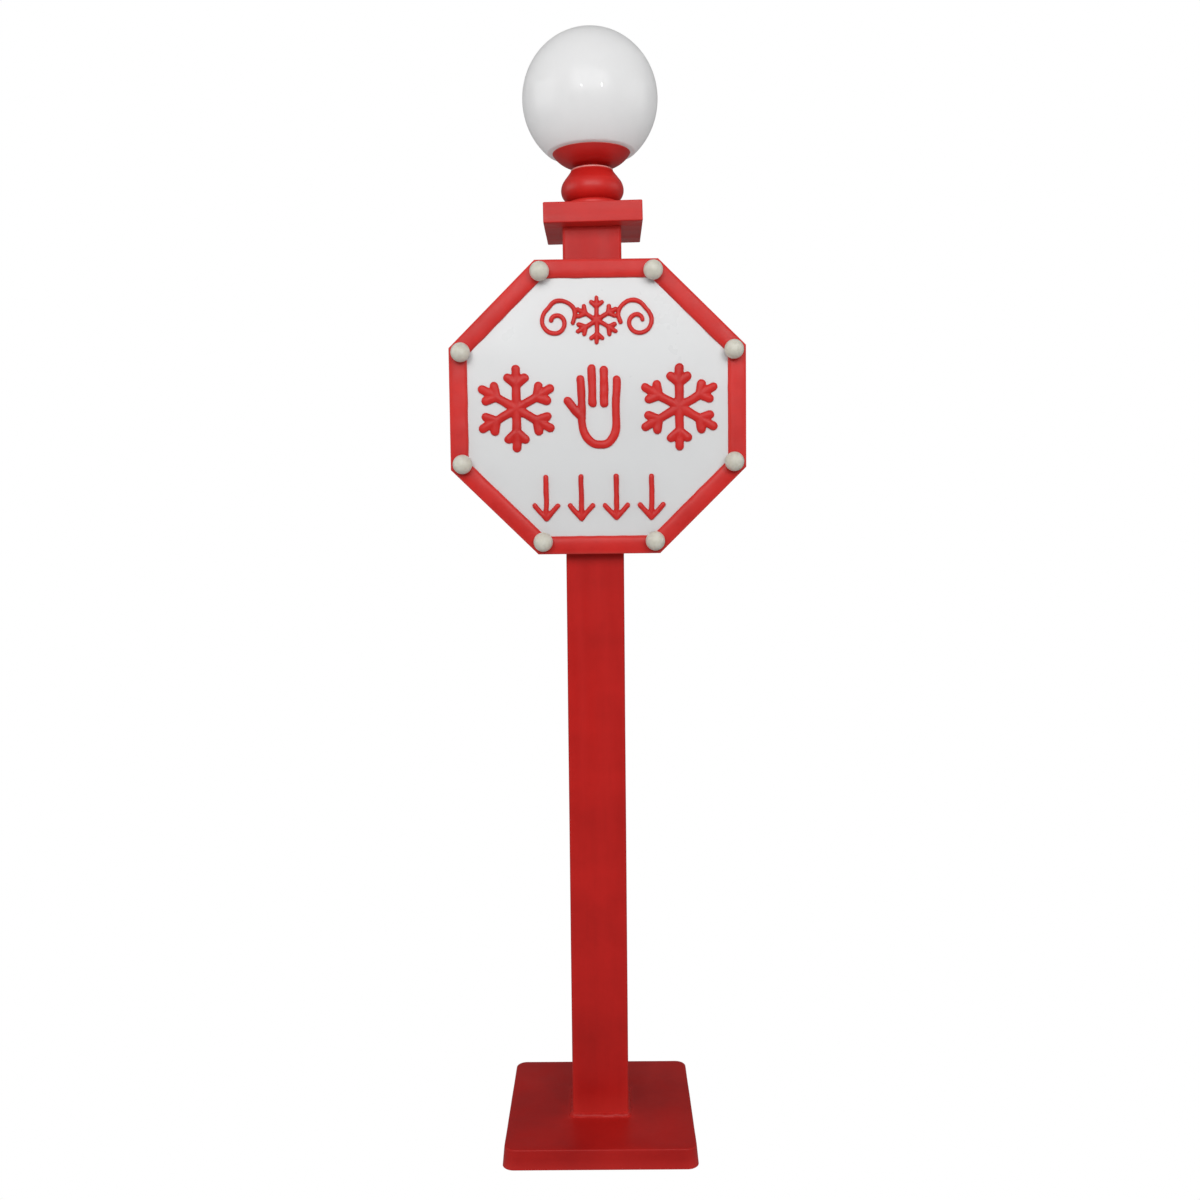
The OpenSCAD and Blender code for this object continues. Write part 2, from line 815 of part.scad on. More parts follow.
corner_bulb(6);  // corner_bulb_6
corner_bulb(7);  // corner_bulb_7
corner_bulb(8);  // corner_bulb_8
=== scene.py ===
"""Looks of the lit signpost: a red post on a square base, an octagonal box sign with
a bulb at each corner, and a globe lamp on a turned finial. Metres, +Z up, the sign faces -Y."""
import math

import bmesh
import bpy
from mathutils import Matrix, Vector, noise


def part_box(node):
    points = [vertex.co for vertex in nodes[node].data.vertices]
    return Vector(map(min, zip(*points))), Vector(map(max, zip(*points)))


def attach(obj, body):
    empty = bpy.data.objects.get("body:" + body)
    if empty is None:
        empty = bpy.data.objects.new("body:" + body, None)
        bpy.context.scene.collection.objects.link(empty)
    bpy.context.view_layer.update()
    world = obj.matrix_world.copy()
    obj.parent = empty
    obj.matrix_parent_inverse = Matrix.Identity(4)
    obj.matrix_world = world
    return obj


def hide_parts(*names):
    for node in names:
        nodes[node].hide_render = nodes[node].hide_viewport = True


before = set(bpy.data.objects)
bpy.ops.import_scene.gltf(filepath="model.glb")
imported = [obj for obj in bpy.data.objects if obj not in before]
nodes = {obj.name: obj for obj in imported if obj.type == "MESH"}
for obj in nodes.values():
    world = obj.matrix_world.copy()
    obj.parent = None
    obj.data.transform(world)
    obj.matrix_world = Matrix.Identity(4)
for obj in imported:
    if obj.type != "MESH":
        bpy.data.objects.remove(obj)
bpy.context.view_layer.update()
MM = 0.001


# ---- Places, taken from the frame ----

def low(node):
    """The lowest corner of a node's box."""
    return Vector(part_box(node)[0])


def high(node):
    """The highest corner of a node's box."""
    return Vector(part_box(node)[1])


def middle(node):
    """The middle of a node's box."""
    return (low(node) + high(node)) / 2


POST = high("post_tube").x - low("post_tube").x
POST_RISE = 1280 * MM

# The head, from the cap up, has a frame of its own: it leans, and sits a little to one side of the post.
LEAN = math.radians(1)
HEAD_SHIFT = 2 * MM
HEAD_Z = high("base_shell").z + POST_RISE
HEAD = Matrix.Translation((HEAD_SHIFT, 0, HEAD_Z)) @ Matrix.Rotation(-LEAN, 4, "Y")

# The sign's frame is on the front of the post: X to the right, Y up and Z out of the face.
ROLL = math.radians(0.1)
SIGN_AT = Vector((middle("sign_tray").x, -POST / 2, middle("sign_tray").z))
SIGN = Matrix.Translation(SIGN_AT) @ Matrix.Rotation(math.pi / 2, 4, "X") @ Matrix.Rotation(ROLL, 4, "Z")
SIGN_W, SIGN_H, SIGN_DEPTH = 411 * MM, 405 * MM, 20 * MM
BULB_INSET = 17.5 * MM


# ---- Mesh tools ----

WELD = 1e-6  # points nearer than this are one point
ON_AXIS = 1e-7  # a radius up to this is on the axis
SHARP = 40  # degrees from which an edge is crisp or gets a bevel


def finish_mesh(name, bm, place, body, replaces, mat, sharp=SHARP):
    """Turns bm into an object in the shared frame, shades it, gives it its material, ties it to its body and
    hides the nodes it replaces.
    """
    bmesh.ops.remove_doubles(bm, verts=bm.verts, dist=WELD)
    bmesh.ops.recalc_face_normals(bm, faces=bm.faces)
    mesh = bpy.data.meshes.new(name)
    bm.to_mesh(mesh)
    bm.free()
    if place is not None:
        mesh.transform(place)
    obj = bpy.data.objects.new(name, mesh)
    bpy.context.scene.collection.objects.link(obj)
    for poly in mesh.polygons:
        poly.use_smooth = True
    mesh.set_sharp_from_angle(angle=math.radians(sharp))
    mesh.materials.append(mat)
    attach(obj, body)
    if replaces:
        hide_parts(*replaces)
    return obj


def loft(bm, rings, closed):
    """Joins rings of equal length with quads; closed joins the last ring to the first."""
    made = [[bm.verts.new(p) for p in ring] for ring in rings]
    pairs = list(zip(made, made[1:]))
    if closed:
        pairs.append((made[-1], made[0]))
    for a, b in pairs:
        for i in range(len(a)):
            j = (i + 1) % len(a)
            bm.faces.new((a[i], a[j], b[j], b[i]))
    return made


def fan(bm, ring, point):
    """Closes the open end of a loft with triangles to one point."""
    tip = bm.verts.new(point)
    for i in range(len(ring)):
        bm.faces.new((ring[i], ring[(i + 1) % len(ring)], tip))


def lathe(profile, steps):
    """Closed solid of revolution about Z from (radius, height) pairs; a radius of 0 ends it on the axis."""
    bm = bmesh.new()
    turn = [2 * math.pi * i / steps for i in range(steps)]
    rings = [[(r * math.cos(t), r * math.sin(t), h) for t in turn] for r, h in profile if r > ON_AXIS]
    made = loft(bm, rings, closed=min(profile[0][0], profile[-1][0]) > ON_AXIS)
    for ring, (r, h) in ((made[0], profile[0]), (made[-1], profile[-1])):
        if r <= ON_AXIS:
            fan(bm, ring, (0, 0, h))
    return bm


def arc(cx, cy, r, start, end, steps):
    """Points on a circle in degrees, both ends included."""
    turn = [math.radians(start + (end - start) * i / steps) for i in range(steps + 1)]
    return [(cx + r * math.cos(t), cy + r * math.sin(t)) for t in turn]


def square_ring(half, corner, z, side_steps):
    """Rounded square round the Z axis; z is a height or a function that gives one for each point."""
    corner_steps = 8
    pts = []
    flat = half - corner
    for k in range(4):
        turn = Matrix.Rotation(k * math.pi / 2, 2)
        local = [Vector((half, -flat + 2 * flat * i / side_steps)) for i in range(side_steps)]
        for i in range(corner_steps + 1):
            t = math.pi / 2 * i / corner_steps
            local.append(Vector((flat + corner * math.cos(t), flat + corner * math.sin(t))))
        pts += [turn @ p for p in local[:-1]]
    return [(p.x, p.y, z(p) if callable(z) else z) for p in pts]


def octagon_corner(i, inset):
    """Corner i of the sign's outline in its own frame, in from the edge by inset."""
    half_step = 22.5
    a = math.radians(45 * i + half_step)
    k = math.cos(math.radians(half_step))
    return Vector(((SIGN_W / 2 - inset) * math.cos(a) / k, (SIGN_H / 2 - inset) * math.sin(a) / k))


def octagon_ring(inset, depth, side_steps=12):
    """Outline of the sign in its own frame, in from the edge by inset."""
    corners = [octagon_corner(i, inset) for i in range(8)]
    pts = []
    for a, b in zip(corners, corners[1:] + corners[:1]):
        pts += [a.lerp(b, s / (side_steps - 1)) for s in range(side_steps)]
    return [(p.x, p.y, depth) for p in pts]


def bevelled(obj, width):
    """Rounds the sharp edges of a carried-over or new piece."""
    mod = obj.modifiers.new("edges", "BEVEL")
    mod.width = width
    mod.segments = 2
    mod.limit_method = "ANGLE"
    mod.angle_limit = math.radians(SHARP)
    mod.harden_normals = True


# ---- Materials ----

MIX_A, MIX_B, MIX_OUT = 6, 7, 2  # colour sockets of the mix node
WHITE = (1, 1, 1, 1)


class Tree:
    """Short way to write a material's nodes; the shader's own sockets are the keyword arguments."""

    def __init__(self, name, **shader):
        self.mat = bpy.data.materials.new(name)
        self.mat.use_nodes = True
        self.nodes = self.mat.node_tree.nodes
        self.links = self.mat.node_tree.links
        self.shader = self.nodes["Principled BSDF"]
        for key, value in shader.items():
            self.shader.inputs[key.replace("_", " ")].default_value = value
        self.coords = self.nodes.new("ShaderNodeTexCoord")

    def link(self, a, b):
        self.links.new(a, b)
        return self

    def scaled(self, scale):
        node = self.nodes.new("ShaderNodeMapping")
        node.inputs["Scale"].default_value = scale
        self.link(self.coords.outputs["Object"], node.inputs["Vector"])
        return node.outputs["Vector"]

    def noise(self, scale, detail=4, rough=0.55, stretch=(1, 1, 1), distort=0.0):
        node = self.nodes.new("ShaderNodeTexNoise")
        node.inputs["Scale"].default_value = scale
        node.inputs["Detail"].default_value = detail
        node.inputs["Roughness"].default_value = rough
        node.inputs["Distortion"].default_value = distort
        self.link(self.scaled(stretch), node.inputs["Vector"])
        return node.outputs["Fac"]

    def voronoi(self, scale):
        node = self.nodes.new("ShaderNodeTexVoronoi")
        node.inputs["Scale"].default_value = scale
        self.link(self.scaled((1, 1, 1)), node.inputs["Vector"])
        return node.outputs["Distance"]

    def ramp(self, fac, stops):
        """Colour from a 0 to 1 socket; each stop is (place, colour)."""
        node = self.nodes.new("ShaderNodeValToRGB")
        ends = node.color_ramp.elements
        while len(ends) < len(stops):
            ends.new(0.5)
        for end, (at, color) in zip(ends, stops):
            end.position = at
            end.color = (*color, 1)
        self.link(fac, node.inputs["Fac"])
        return node.outputs["Color"]

    def span(self, fac, lo, hi, from_lo, from_hi):
        """Moves the range from_lo to from_hi of a socket to lo to hi, and cuts it off there."""
        node = self.nodes.new("ShaderNodeMapRange")
        for key, value in (("From Min", from_lo), ("From Max", from_hi), ("To Min", lo), ("To Max", hi)):
            node.inputs[key].default_value = value
        self.link(fac, node.inputs["Value"])
        return node.outputs["Result"]

    def mix(self, fac, a, b):
        """From a to b as fac goes from 0 to 1; each is a socket or a colour."""
        node = self.nodes.new("ShaderNodeMix")
        node.data_type = "RGBA"
        self.link(fac, node.inputs["Factor"])
        for socket, value in ((node.inputs[MIX_A], a), (node.inputs[MIX_B], b)):
            if isinstance(value, tuple):
                socket.default_value = (*value, 1)
            else:
                self.link(value, socket)
        return node.outputs[MIX_OUT]

    def edges(self, lo, hi):
        """Goes from 0 to 1 towards the outer edges of a piece, where paint wears thin and where a painted
        highlight is laid.
        """
        geo = self.nodes.new("ShaderNodeNewGeometry")
        return self.span(geo.outputs["Pointiness"], 0, 1, lo, hi)

    def bumps(self, *layers):
        """Each layer is (height socket, strength, distance)."""
        last = None
        for height, strength, distance in layers:
            node = self.nodes.new("ShaderNodeBump")
            node.inputs["Strength"].default_value = strength
            node.inputs["Distance"].default_value = distance
            self.link(height, node.inputs["Height"])
            if last is not None:
                self.link(last, node.inputs["Normal"])
            last = node.outputs["Normal"]
        self.link(last, self.shader.inputs["Normal"])
        return self

    def color(self, socket):
        return self.link(socket, self.shader.inputs["Base Color"])

    def rough(self, socket):
        return self.link(socket, self.shader.inputs["Roughness"])


def brushed_enamel(name, deep, full, wear_and_sheen, stretch, patch=9.0, gloss=0.22):
    """Hand-painted enamel: cloudy tone, brush marks along one direction, fine orange peel."""
    t = Tree(name, Roughness=0.42, Specular_IOR_Level=gloss, Coat_Weight=0.05, Coat_Roughness=0.22)
    cloud = t.noise(patch, 5, 0.6)
    marks = t.noise(60, 3, 0.5, stretch)
    fine = t.noise(420, 3, 0.6, stretch)
    tone = t.ramp(cloud, [(0.3, deep), (0.72, full)])
    tone = t.mix(t.span(marks, 0, 0.38, 0.42, 0.72), tone, full)
    tone = t.mix(t.span(fine, 0, 0.22, 0.5, 0.8), tone, deep)
    # lighter on outer edges: partly paint worn thin there, partly a painted highlight
    tone = t.mix(t.edges(0.51, 0.6), tone, wear_and_sheen)
    t.color(tone)
    t.rough(t.span(marks, 0.34, 0.52, 0.3, 0.75))
    peel = t.noise(900, 2, 0.5)
    t.bumps((marks, 0.25, 0.0012), (fine, 0.16, 0.0004), (peel, 0.06, 0.0002))
    return t.mat


RED_DEEP = (0.43, 0.009, 0.007)
RED_FULL = (0.6, 0.016, 0.012)
# Edge colour, lighter than the full red: partly worn paint, partly a painted highlight on edges.
RED_WEAR_AND_SHEEN = (0.7, 0.05, 0.04)
# Which way the brush went: the noise is drawn out along the axes with a small scale.
UPRIGHT = (1, 1, 0.06)
LEVEL = (0.06, 1, 1)
AROUND = (0.3, 0.3, 1)
ON_SIGN = (0.5, 1, 0.5)

# The post's and base's reds are darker, and the sign's lighter, than the flat red: painted shade and painted
# light, for how the light falls on each part.
red_post_shaded = brushed_enamel(
    "red_enamel_post_shaded", (0.4, 0.009, 0.007), (0.56, 0.014, 0.011), RED_WEAR_AND_SHEEN, UPRIGHT, gloss=0.14)
red_base_shaded = brushed_enamel(
    "red_enamel_base_shaded", (0.34, 0.008, 0.007), (0.48, 0.013, 0.01), (0.6, 0.03, 0.025), AROUND, 7.0, 0.14)
red_flat = brushed_enamel("red_enamel_flat", RED_DEEP, RED_FULL, RED_WEAR_AND_SHEEN, LEVEL)
red_round = brushed_enamel("red_enamel_turned", RED_DEEP, RED_FULL, RED_WEAR_AND_SHEEN, AROUND, gloss=0.35)
red_sign_lit = brushed_enamel(
    "red_enamel_sign_lit", (0.48, 0.012, 0.01), (0.64, 0.02, 0.016), (0.72, 0.07, 0.06), ON_SIGN, 14.0)
# Light pink red for thin bands on the ball's lip and the dish's rim: a painted highlight.
painted_highlight = brushed_enamel(
    "red_enamel_painted_highlight", (0.66, 0.12, 0.1), (0.78, 0.3, 0.27), (0.8, 0.42, 0.4), AROUND, 60.0, 0.4)


def paint_highlight(obj, place, lowest, highest, inner):
    """Gives the faces of a turned piece between two heights, and outside a radius, a painted highlight in
    light red.
    """
    back = place.inverted()
    obj.data.materials.append(painted_highlight)
    for poly in obj.data.polygons:
        at = back @ poly.center
        if lowest < at.z < highest and math.hypot(at.x, at.y) > inner:
            poly.material_index = 1


def white_enamel():
    """White paint of the sign's face, with faint level brush marks."""
    t = Tree("white_enamel", Roughness=0.32, Coat_Weight=0.25, Coat_Roughness=0.15)
    cloud = t.noise(6, 5, 0.6)
    marks = t.noise(45, 3, 0.5, (0.1, 1, 1))
    tone = t.ramp(cloud, [(0.3, (0.632, 0.641, 0.646)), (0.7, (0.652, 0.66, 0.663))])
    tone = t.mix(t.span(marks, 0, 0.12, 0.45, 0.75), tone, (0.67, 0.675, 0.67))
    t.color(tone)
    t.rough(t.span(cloud, 0.24, 0.42, 0.3, 0.7))
    t.bumps((marks, 0.04, 0.0006), (t.noise(500, 2, 0.5), 0.05, 0.0003))
    return t.mat


def opal():
    """Opal plastic of the globe: milky, glossy, with faint moulding clouds and a faint painted glow for
    light coming through it.
    """
    # The emission is a painted glow, standing in for light that passes through the milky shell.
    t = Tree(
        "opal_plastic", Roughness=0.35, IOR=1.49, Specular_IOR_Level=0.2,
        Coat_Weight=0.28, Coat_Roughness=0.04, Emission_Color=WHITE, Emission_Strength=0.1,
        Subsurface_Weight=0.8, Subsurface_Radius=(0.02, 0.02, 0.02), Subsurface_Scale=1.0)
    cloud = t.noise(14, 4, 0.55, (1, 1, 0.5))
    t.color(t.ramp(cloud, [(0.3, (0.8, 0.805, 0.81)), (0.7, (0.845, 0.845, 0.85))]))
    t.rough(t.span(t.noise(30, 4, 0.6), 0.28, 0.42, 0.3, 0.7))
    t.bumps((t.noise(26, 2, 0.5), 0.05, 0.0008), (t.noise(300, 2, 0.5), 0.02, 0.0002))
    return t.mat


def frosted():
    """Cream, finely grained plastic of the corner bulbs."""
    t = Tree(
        "frosted_bulb", Roughness=0.45, IOR=1.49,
        Subsurface_Weight=0.4, Subsurface_Radius=(0.006, 0.006, 0.005), Subsurface_Scale=0.5)
    cloud = t.noise(90, 4, 0.6)
    t.color(t.ramp(cloud, [(0.3, (0.56, 0.54, 0.46)), (0.7, (0.68, 0.665, 0.585))]))
    t.rough(t.span(cloud, 0.36, 0.55, 0.3, 0.7))
    t.bumps((t.noise(1500, 2, 0.5), 0.14, 0.0002))
    return t.mat


def plated(name, tint, rough):
    """Plated or turned metal with fine scratches and dulled patches."""
    t = Tree(name, Metallic=1.0, Roughness=rough)
    dull = t.noise(70, 4, 0.6)
    line = t.noise(500, 3, 0.5, (1, 1, 0.08))
    dark = tuple(c * 0.62 for c in tint)
    t.color(t.ramp(dull, [(0.3, dark), (0.75, tint)]))
    t.rough(t.span(dull, rough - 0.08, rough + 0.18, 0.3, 0.7))
    t.bumps((line, 0.12, 0.0002))
    return t.mat


def moulded(name, tone, rough, grain=1400, speck=0.25):
    """Moulded plastic or rubber: slight tone clouds and a fine grain."""
    t = Tree(name, Roughness=rough)
    cloud = t.noise(40, 4, 0.6)
    lighter = tuple(min(1, c * (1 + speck) + 0.004) for c in tone)
    t.color(t.ramp(cloud, [(0.3, tone), (0.75, lighter)]))
    t.rough(t.span(cloud, rough - 0.08, rough + 0.1, 0.3, 0.7))
    t.bumps((t.noise(grain, 2, 0.5), 0.2, 0.0002))
    return t.mat


def cast():
    """Raw cast iron, pitted."""
    t = Tree("cast_iron", Metallic=0.6, Roughness=0.7)
    pits = t.voronoi(260)
    cloud = t.noise(30, 5, 0.6)
    t.color(t.ramp(cloud, [(0.3, (0.05, 0.05, 0.052)), (0.75, (0.1, 0.09, 0.085))]))
    t.bumps((pits, 0.5, 0.0006), (cloud, 0.4, 0.001))
    return t.mat


def sawn_wood():
    """Bare wood with its grain along Z."""
    t = Tree("sawn_wood", Roughness=0.7)
    ring = t.noise(24, 5, 0.6, (1, 1, 0.1), 1.2)
    pore = t.noise(320, 3, 0.6, (1, 1, 0.05))
    tone = t.ramp(ring, [(0.35, (0.28, 0.16, 0.075)), (0.65, (0.45, 0.29, 0.15))])
    t.color(t.mix(t.span(pore, 0, 0.5, 0.5, 0.8), tone, (0.2, 0.11, 0.05)))
    t.bumps((pore, 0.3, 0.0004))
    return t.mat


def glazed():
    """Glazed ceramic of the lamp holder."""
    t = Tree("glazed_ceramic", Roughness=0.18, Coat_Weight=0.5, Coat_Roughness=0.08)
    cloud = t.noise(30, 4, 0.6)
    t.color(t.ramp(cloud, [(0.3, (0.76, 0.73, 0.66)), (0.7, (0.84, 0.82, 0.76))]))
    t.bumps((t.noise(60, 3, 0.5), 0.1, 0.0006))
    return t.mat


face_white = white_enamel()
opal_mat = opal()
frost_mat = frosted()
zinc = plated("zinc_plate", (0.62, 0.62, 0.6), 0.32)
brass = plated("turned_brass", (0.78, 0.56, 0.22), 0.26)
coated = moulded("black_powder_coat", (0.03, 0.03, 0.032), 0.5, 900)
iron = cast()
rubber = moulded("black_rubber", (0.018, 0.018, 0.018), 0.8, 1600)
black_plastic = moulded("black_plastic", (0.02, 0.02, 0.022), 0.42)
white_plastic = moulded("white_plastic", (0.72, 0.72, 0.69), 0.4, 1200, 0.06)
wire_mat = moulded("wire_sheath", (0.02, 0.02, 0.022), 0.45, 800)
wood = sawn_wood()
lamp_glass = moulded("lamp_diffuser", (0.84, 0.84, 0.82), 0.3, 900, 0.04)
ceramic = glazed()

# CAD nodes whose shape is right as it is: the finish of each, and how far its edges are rounded, in mm.
CARRIED = {
    "base_cover": (coated, 0.4), "ballast": (iron, 2.0), "base_bolts": (zinc, 0.5),
    "foot_flange": (coated, 0.5), "post_set_screws": (zinc, 0.3), "gland_nut": (black_plastic, 0.4),
    "supply_lead": (wire_mat, 0), "led_driver": (white_plastic, 1.5), "driver_screws": (zinc, 0.3),
    "lamp_lead": (wire_mat, 0),
    "cap_plug": (wood, 1.0), "lamp_pipe": (brass, 0), "pipe_washer": (zinc, 0.3), "pipe_nut": (brass, 0.4),
    "dish_nut": (brass, 0.4), "dish_gasket": (rubber, 0), "lamp_holder": (ceramic, 0.8),
    "sign_loom": (wire_mat, 0), "sign_lead": (wire_mat, 0), "sign_grommet": (rubber, 0.4),
    "sign_bolts": (zinc, 0.4), "sign_nuts": (zinc, 0.4), "bulb_sockets": (black_plastic, 0.5),
}


def carried_nodes():
    """Gives the carried-over CAD nodes their finish and softened edges."""
    for name, (mat, width) in CARRIED.items():
        slots = nodes[name].data.materials
        slots.clear()
        slots.append(mat)
        if width:
            bevelled(nodes[name], width * MM)


# ---- Base ----

def base_shell():
    """Pressed shell, open below, with soft upper edges and a square hole for the post."""
    lo, hi = low("base_shell"), high("base_shell")
    half = (hi.x - lo.x) / 2
    height = hi.z - lo.z
    taper, corner, wall, soft = 2.7 * MM, 16 * MM, 2 * MM, 2.2 * MM
    lip, fold = 0.5 * MM, 1 * MM
    hole = POST / 2 - 2 * MM
    top_rings = 8
    under = hi.z - wall

    def at(z):
        return half - taper * (z - lo.z) / height

    # each ring is (half its width, corner radius, height): outside up, in over the top, back underneath
    rings = [(at(lo.z) - wall, corner - wall, lo.z), (at(lo.z) - lip, corner, lo.z)]
    rings += [(at(z), corner, z) for z in (lo.z + lip, lo.z + height / 2, hi.z - soft)]
    for r, h in arc(0, 0, soft, 0, 90, 6)[1:]:
        rings.append((at(hi.z - soft) - soft + r, corner - soft + r, hi.z - soft + h))
    for k in range(1, top_rings + 1):
        mix = k / top_rings
        wide = (at(hi.z) - soft) * (1 - mix) + hole * mix
        rings.append((wide, (corner - soft) * (1 - mix) + fold * mix, hi.z))
    rings += [(hole, fold, under), (at(under) - wall - fold, corner - wall, under)]
    rings.append((at(under) - wall, corner - wall, under - fold))
    bm = bmesh.new()
    loft(bm, [square_ring(*ring, 24) for ring in rings], closed=True)
    # the sheet is a little uneven, on its top most of all
    for v in bm.verts:
        swell = noise.noise(Vector((v.co.x * 11, v.co.y * 11, v.co.z * 11 + 3)))
        v.co.z += 0.35 * MM * swell * (v.co.z > lo.z + 4 * MM)
        v.co.x *= 1 + 0.0012 * noise.noise(Vector((v.co.y * 20, 7, v.co.z * 30)))
    finish_mesh("base_shell_skin", bm, None, "stand", ["base_shell"], red_base_shaded)


def foot_bead():
    """Uneven bead of sealant where the post meets the base."""
    lo, hi = low("foot_bead"), high("foot_bead")
    inner = POST / 2 - 0.3 * MM
    width = (hi.x - lo.x) / 2 - POST / 2
    corner, sink = 4 * MM, 0.1 * MM
    bm = bmesh.new()
    section = [(0.0, 0.0), (1.0, 0.0), (0.92, 0.34), (0.66, 0.7), (0.34, 0.94), (0.0, 1.0)]
    rings = [square_ring(inner + width * x, corner + width * x, lo.z - sink + (hi.z - lo.z) * z, 40)
             for x, z in section]
    loft(bm, rings, closed=True)
    for v in bm.verts:
        out = Vector((v.co.x, v.co.y, 0)).normalized()
        wave = noise.noise(v.co * 90) * 1.3 + noise.noise(v.co * 260) * 0.5
        lift = max(0.0, (v.co.z - lo.z) / (hi.z - lo.z))
        if max(abs(v.co.x), abs(v.co.y)) > inner + 0.4 * MM:
            v.co += out * wave * 0.7 * MM
        v.co.z += lift * wave * 0.8 * MM
    finish_mesh("foot_bead_skin", bm, None, "stand", ["foot_bead"], red_base_shaded, 60)


def rubber_feet():
    """Five turned feet: one in the middle and one near each corner."""
    hi = high("rubber_feet")
    r, edge, groove = 12 * MM, 0.8 * MM, 0.4 * MM
    reach = hi.x - r
    bm = bmesh.new()
    profile = [(0, 0), (r * 0.6, 0), (r * 0.66, groove), (r * 0.74, groove), (r * 0.8, 0), (r - edge, 0)]
    profile += [(r, edge), (r * 0.94, hi.z), (0, hi.z)]
    for x, y in ((0, 0), (-1, -1), (-1, 1), (1, -1), (1, 1)):
        part = lathe(profile, 40)
        bmesh.ops.translate(part, verts=part.verts, vec=(x * reach, y * reach, 0))
        mesh = bpy.data.meshes.new("foot")
        part.to_mesh(mesh)
        part.free()
        bm.from_mesh(mesh)
        bpy.data.meshes.remove(mesh)
    finish_mesh("rubber_feet_turned", bm, None, "stand", ["rubber_feet"], rubber)


# ---- Post ----

def post_tube():
    """Square tube with soft corners; its top end is cut on the slant of the head."""
    lo = low("post_tube").z
    half, corner, wall, lip = POST / 2, 4 * MM, 2 * MM, 0.4 * MM
    steps, side_steps = 36, 8
    slant = math.tan(LEAN)

    def top(inset):
        return lambda p: HEAD_Z + (p.x - HEAD_SHIFT) * slant - inset

    # each ring is how far it is in from the outside, and its height
    rings = [(lip, lo)]
    rings += [(0, lo + lip + (HEAD_Z - lo - 10 * MM) * i / steps) for i in range(steps + 1)]
    rings += [(0, top(lip)), (lip, top(0)), (wall, top(0)), (wall, lo)]
    bm = bmesh.new()
    loft(bm, [square_ring(half - inset, corner - inset, z, side_steps) for inset, z in rings], closed=True)
    # long, slight waves in the tube's sides
    for v in bm.verts:
        v.co.x += 0.25 * MM * noise.noise(Vector((v.co.y * 9, 2, v.co.z * 4)))
        v.co.y += 0.25 * MM * noise.noise(Vector((v.co.x * 9, 5, v.co.z * 4)))
    finish_mesh("post_tube_skin", bm, None, "stand", ["post_tube"], red_post_shaded)


def cord_gland():
    """Gland low on the rear: hexagon, ribbed dome nut and a soft lip round the cord's hole."""
    lo, hi = low("cord_gland"), high("cord_gland")
    z = (lo.z + hi.z) / 2
    place = Matrix.Translation((0, POST / 2, z)) @ Matrix.Rotation(-math.pi / 2, 4, "X")
    bore, thread, dome = 3.5 * MM, 6.5 * MM, 9 * MM
    inside = lo.y - POST / 2
    outside = hi.y - POST / 2
    profile = [(bore, inside), (thread, inside)]
    pitch = 1.5 * MM
    turns = int(-inside / pitch)
    for k in range(turns):
        base = inside + k * pitch
        profile += [(thread, base + 0.1 * MM), (thread - 0.6 * MM, base + pitch / 2)]
    profile += [(thread, -0.1 * MM), (dome, 0.0), (dome, outside * 0.72)]
    profile += [(dome * 0.97, outside * 0.78), (dome * 0.84, outside * 0.88), (dome * 0.66, outside * 0.97)]
    profile += [(bore + 1.2 * MM, outside), (bore, outside - 0.6 * MM)]
    bm = lathe(profile, 72)
    for v in bm.verts:
        reach = math.hypot(v.co.x, v.co.y)
        if reach > dome * 0.95 and 5.5 * MM < v.co.z < outside * 0.74:
            rib = 1 + 0.03 * math.cos(math.atan2(v.co.y, v.co.x) * 18)
            v.co.x *= rib
            v.co.y *= rib
    finish_mesh("cord_gland_body", bm, place, "stand", ["cord_gland"], black_plastic, 35)
    inner, outer, thick = 8.6 * MM, 11 * MM, 5 * MM
    sixths = [math.radians(60 * i) for i in range(6)]
    section = ((inner, 0), (outer, 0), (outer, thick), (inner, thick))
    hexagon = [[(r * math.cos(t), r * math.sin(t), h) for t in sixths] for r, h in section]
    bm = bmesh.new()
    loft(bm, hexagon, closed=True)
    flange = finish_mesh("cord_gland_hexagon", bm, place, "stand", (), black_plastic)
    bevelled(flange, 0.5 * MM)


# ---- Head ----

# Heights of the head's pieces, and the levels in the head's frame that follow from them.
CAP_H, PLINTH_H, BALL_H, NECK_H, DISH_H = 28 * MM, 14 * MM, 45 * MM, 4 * MM, 19.5 * MM
PLINTH_TOP = CAP_H + PLINTH_H
BALL_TOP = PLINTH_TOP + BALL_H
DISH_BOTTOM = BALL_TOP + NECK_H
DISH_FLOOR = DISH_BOTTOM + 5 * MM
RIM_H = DISH_BOTTOM + DISH_H
PIPE_HOLE = 5.5 * MM


def cap_block():
    """Square block with softened edges and a hole for the lamp pipe."""
    half, soft = 68.25 * MM, 1.3 * MM
    corner = soft + 0.2 * MM
    hole_corner = PIPE_HOLE * 0.98
    rings = [(PIPE_HOLE, hole_corner, 0), (half - soft, soft, 0)]
    rings += [(half - soft + r, corner, soft + h) for r, h in arc(0, 0, soft, -60, 0, 3)]
    rings += [(half, corner, CAP_H * k) for k in (0.3, 0.6)]
    rings += [(half - soft + r, corner, CAP_H - soft + h) for r, h in arc(0, 0, soft, 0, 60, 3)]
    rings += [(half - soft, soft, CAP_H), (PIPE_HOLE, hole_corner, CAP_H)]
    bm = bmesh.new()
    loft(bm, [square_ring(*ring, 16) for ring in rings], closed=True)
    for v in bm.verts:
        v.co += Vector((0.3, 0.3, 0.3)) * MM * noise.noise(v.co * 14)
    finish_mesh("cap_block_skin", bm, HEAD, "stand", ["cap_block"], red_flat)


